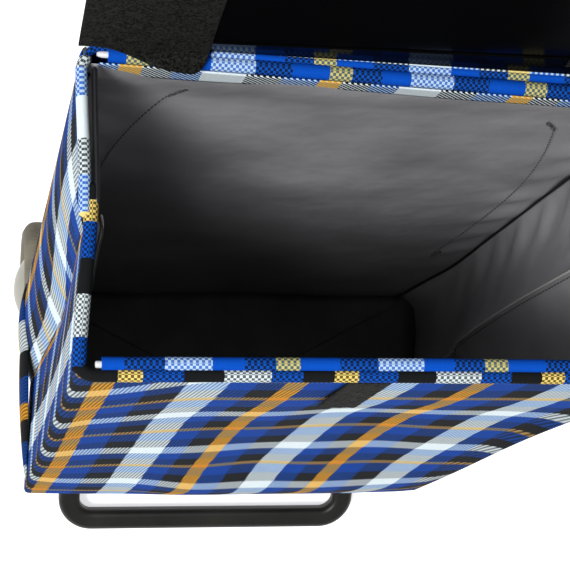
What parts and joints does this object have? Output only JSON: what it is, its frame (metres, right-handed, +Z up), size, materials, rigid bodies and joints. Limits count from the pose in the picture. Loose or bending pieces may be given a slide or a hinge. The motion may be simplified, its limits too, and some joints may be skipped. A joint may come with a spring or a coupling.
{
  "type": "folding shopping trolley",
  "caption": "Folding two-wheeled shopping trolley: open tartan cloth bag with black lining on a black tube frame, with a folding handle, front stand and lid.",
  "frame": {"origin": "on the floor, under the middle of the trolley's overall length and width", "axes": "+X across the width, to the right when looking at the bag's front face along +Y; -Y towards the front of the bag and the stand's bar; +Y towards the handle and wheels; +Z up"},
  "size_m": [0.375, 0.2959, 1.0445],
  "materials": {
    "black_tube": "satin",
    "zinc_steel": "satin",
    "black_plastic": "matte",
    "grey_plastic": "matte",
    "soft_grip": "matte",
    "tyre_rubber": "matte",
    "wheel_plastic": "satin",
    "hub_cap_plastic": "satin",
    "tartan_cloth": "woven",
    "black_lining": "satin",
    "black_velour": "matte",
    "rod_plastic": "gloss",
    "board_plastic": "satin"
  },
  "bodies": {
    "frame": {"left_upright": "black_tube", "right_upright": "black_tube", "upper_cross_bar": "black_tube", "base_cross_tube": "black_tube", "left_base_bracket": "black_plastic", "right_base_bracket": "black_plastic", "axle": "zinc_steel", "axle_spacers": "black_plastic", "axle_push_nuts": "zinc_steel", "stand_pivot_pins": "zinc_steel", "left_lower_knuckle": "black_plastic", "right_lower_knuckle": "black_plastic", "handle_hinge_pins": "zinc_steel", "lock_springs": "zinc_steel", "left_bag_hook": "black_plastic", "right_bag_hook": "black_plastic", "bag_tube_loops": "black_velour", "frame_screws": "zinc_steel", "bag_back_panel": "tartan_cloth", "bag_left_side": "tartan_cloth", "bag_right_side": "tartan_cloth", "bag_bottom": "tartan_cloth", "base_board": "board_plastic", "back_mouth_rod": "rod_plastic", "back_rod_sleeve": "tartan_cloth", "bag_back_hem": "tartan_cloth"},
    "bag_front": {"bag_front_panel": "tartan_cloth", "front_mouth_rod": "rod_plastic", "front_rod_sleeve": "tartan_cloth", "bag_front_hem": "tartan_cloth", "front_loop_patch": "black_velour"},
    "stand": {"stand_loop": "black_tube", "stand_end_plugs": "black_plastic", "stand_feet": "black_plastic"},
    "handle": {"handle_tube": "black_tube", "handle_grip": "soft_grip", "left_upper_knuckle": "black_plastic", "right_upper_knuckle": "black_plastic"},
    "left_wheel": {"left_tyre": "tyre_rubber", "left_wheel_rim": "wheel_plastic", "left_wheel_bush": "black_plastic", "left_hub_cap": "hub_cap_plastic"},
    "right_wheel": {"right_tyre": "tyre_rubber", "right_wheel_rim": "wheel_plastic", "right_wheel_bush": "black_plastic", "right_hub_cap": "hub_cap_plastic"},
    "left_button": {"left_lock_button": "grey_plastic"},
    "right_button": {"right_lock_button": "grey_plastic"},
    "lid": {"lid_panel": "tartan_cloth", "lid_lining": "black_lining"},
    "lip": {"lid_lip": "tartan_cloth", "lip_hook_strip": "black_velour"},
    "left_wing": {"lid_left_wing": "black_velour"},
    "right_wing": {"lid_right_wing": "black_velour"}
  },
  "joints": [
    {"name": "stand_fold", "type": "hinge", "parent": "frame", "child": "stand", "pos_m": [0, -0.016, 0.09], "axis": [-1, 0, 0], "range_deg": [0, 120]},
    {"name": "bag_fold", "type": "slide", "parent": "frame", "child": "bag_front", "axis": [0, 1, 0], "range_m": [0, 0.146], "deforming": ["bag_left_side", "bag_right_side", "bag_bottom", "base_board"]},
    {"name": "handle_fold", "type": "hinge", "parent": "frame", "child": "handle", "pos_m": [0, 0.102, 0.802], "axis": [-1, 0, 0], "range_deg": [0, 168]},
    {"name": "left_wheel_spin", "type": "hinge", "parent": "frame", "child": "left_wheel", "pos_m": [-0.166, 0.074, 0.064], "axis": [1, 0, 0], "continuous": true},
    {"name": "right_wheel_spin", "type": "hinge", "parent": "frame", "child": "right_wheel", "pos_m": [0.166, 0.074, 0.064], "axis": [1, 0, 0], "continuous": true},
    {"name": "left_lock_press", "type": "slide", "parent": "frame", "child": "left_button", "axis": [1, 0, 0], "range_m": [0, 0.0022], "stiffness_N_per_m": 400},
    {"name": "right_lock_press", "type": "slide", "parent": "frame", "child": "right_button", "axis": [-1, 0, 0], "range_m": [0, 0.0022], "stiffness_N_per_m": 400},
    {"name": "lid_hinge", "type": "hinge", "parent": "frame", "child": "lid", "pos_m": [0, 0.06, 0.764], "axis": [1, 0, 0], "range_deg": [0, 95]},
    {"name": "lip_fold", "type": "hinge", "parent": "lid", "child": "lip", "pos_m": [0, 0.07697, 0.95224], "axis": [1, 0, 0], "range_deg": [0, 90]},
    {"name": "left_wing_fold", "type": "hinge", "parent": "lid", "child": "left_wing", "pos_m": [-0.178, 0.06, 0.764], "axis": [0, -0.0872, -0.9962], "range_deg": [0, 180]},
    {"name": "right_wing_fold", "type": "hinge", "parent": "lid", "child": "right_wing", "pos_m": [0.178, 0.06, 0.764], "axis": [0, 0.0872, 0.9962], "range_deg": [0, 180]}
  ],
  "couplings": [
    {"joint": "bag_fold", "follows": "stand_fold", "m_per_rad": 0.0697}
  ]
}
